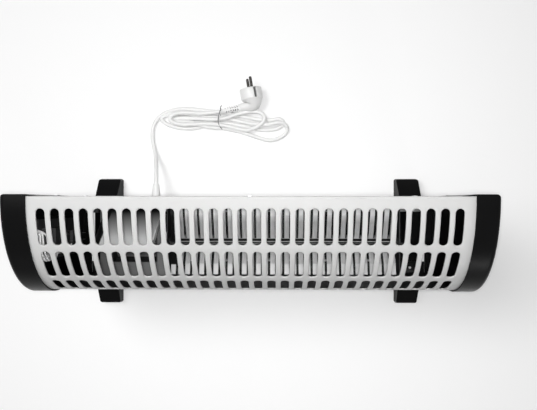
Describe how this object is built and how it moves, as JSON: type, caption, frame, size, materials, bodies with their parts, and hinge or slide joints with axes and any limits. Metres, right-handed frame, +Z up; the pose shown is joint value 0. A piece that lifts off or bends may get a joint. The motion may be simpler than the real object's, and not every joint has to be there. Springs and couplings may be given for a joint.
{
  "type": "convector heater",
  "caption": "Free-standing convector heater with a curved slotted front, black end caps and feet, side controls, a blower and a tied mains cord with an angled plug.",
  "frame": {"origin": "on the floor, midway between the end caps and between the tips of the feet", "axes": "+X along the heater towards its right end cap, +Y towards the back panel and the cord, +Z up"},
  "size_m": [0.606, 0.3952, 0.4],
  "materials": {
    "white_enamel": "white stove enamel, half gloss",
    "back_enamel": "white enamel on the back sheet",
    "black_plastic": "black satin moulding",
    "galvanised": "galvanised sheet",
    "steel": "plain steel",
    "fin_aluminium": "bright rolled strip",
    "rod_steel": "stainless sheath",
    "ceramic": "unglazed ceramic",
    "dark_plastic": "dark moulding",
    "knob_plastic": "dark satin knob",
    "copper_coil": "taped copper winding",
    "brass_tabs": "plain",
    "rocker_plastic": "polished rocker",
    "wire_white": "white insulation",
    "cord_white": "white flexible sheath",
    "plug_white": "white moulding, satin",
    "pin_metal": null,
    "tie_wire": "grey covered wire"
  },
  "bodies": {
    "heater": {"front_casing": "white_enamel", "back_panel": "back_enamel", "bottom_grille": "back_enamel", "left_end_cap": "black_plastic", "right_end_cap": "black_plastic", "left_foot": "black_plastic", "right_foot": "black_plastic", "foot_screws": "steel", "back_screws": "steel", "rear_fins": "fin_aluminium", "front_fins": "fin_aluminium", "heater_rod_left": "rod_steel", "heater_rod_right": "rod_steel", "rod_spacer": "ceramic", "rod_bushes": "ceramic", "left_bracket": "galvanised", "right_bracket": "galvanised", "overheat_cutout": "dark_plastic", "air_guide": "galvanised", "blower_shelf": "galvanised", "blower_housing": "galvanised", "motor_core": "steel", "motor_coil": "copper_coil", "motor_brackets": "steel", "control_plate": "galvanised", "thermostat_body": "ceramic", "low_heat_switch": "dark_plastic", "high_heat_switch": "dark_plastic", "fan_switch": "dark_plastic", "terminal_block": "ceramic", "wire_loom": "wire_white", "inner_lead": "cord_white", "cord_gland": "black_plastic", "power_cord": "cord_white", "cord_hank": "cord_white", "cord_tie": "tie_wire", "plug_body": "plug_white", "plug_pins": "pin_metal", "plug_relief": "cord_white"},
    "thermostat_dial": {"thermostat_knob": "knob_plastic", "thermostat_spindle": "steel"},
    "low_heat_key": {"low_heat_rocker": "rocker_plastic"},
    "high_heat_key": {"high_heat_rocker": "rocker_plastic"},
    "fan_key": {"fan_rocker": "rocker_plastic"},
    "blower_rotor": {"blower_wheel": "fin_aluminium", "motor_rotor": "steel"}
  },
  "joints": [
    {"name": "thermostat_turn", "type": "hinge", "parent": "heater", "child": "thermostat_dial", "pos_m": [-0.292, 0.015, 0.285], "axis": [-1, 0, 0], "range_deg": [0, 270]},
    {"name": "low_heat_press", "type": "hinge", "parent": "heater", "child": "low_heat_key", "pos_m": [-0.2855, 0.015, 0.225], "axis": [0, 0, -1], "range_deg": [0, 16]},
    {"name": "high_heat_press", "type": "hinge", "parent": "heater", "child": "high_heat_key", "pos_m": [-0.2855, 0.015, 0.195], "axis": [0, 0, -1], "range_deg": [0, 16]},
    {"name": "fan_press", "type": "hinge", "parent": "heater", "child": "fan_key", "pos_m": [-0.2855, 0.015, 0.165], "axis": [0, 0, -1], "range_deg": [0, 16]},
    {"name": "blower_spin", "type": "hinge", "parent": "heater", "child": "blower_rotor", "pos_m": [-0.191, -0.002, 0.098], "axis": [1, 0, 0], "continuous": true}
  ]
}
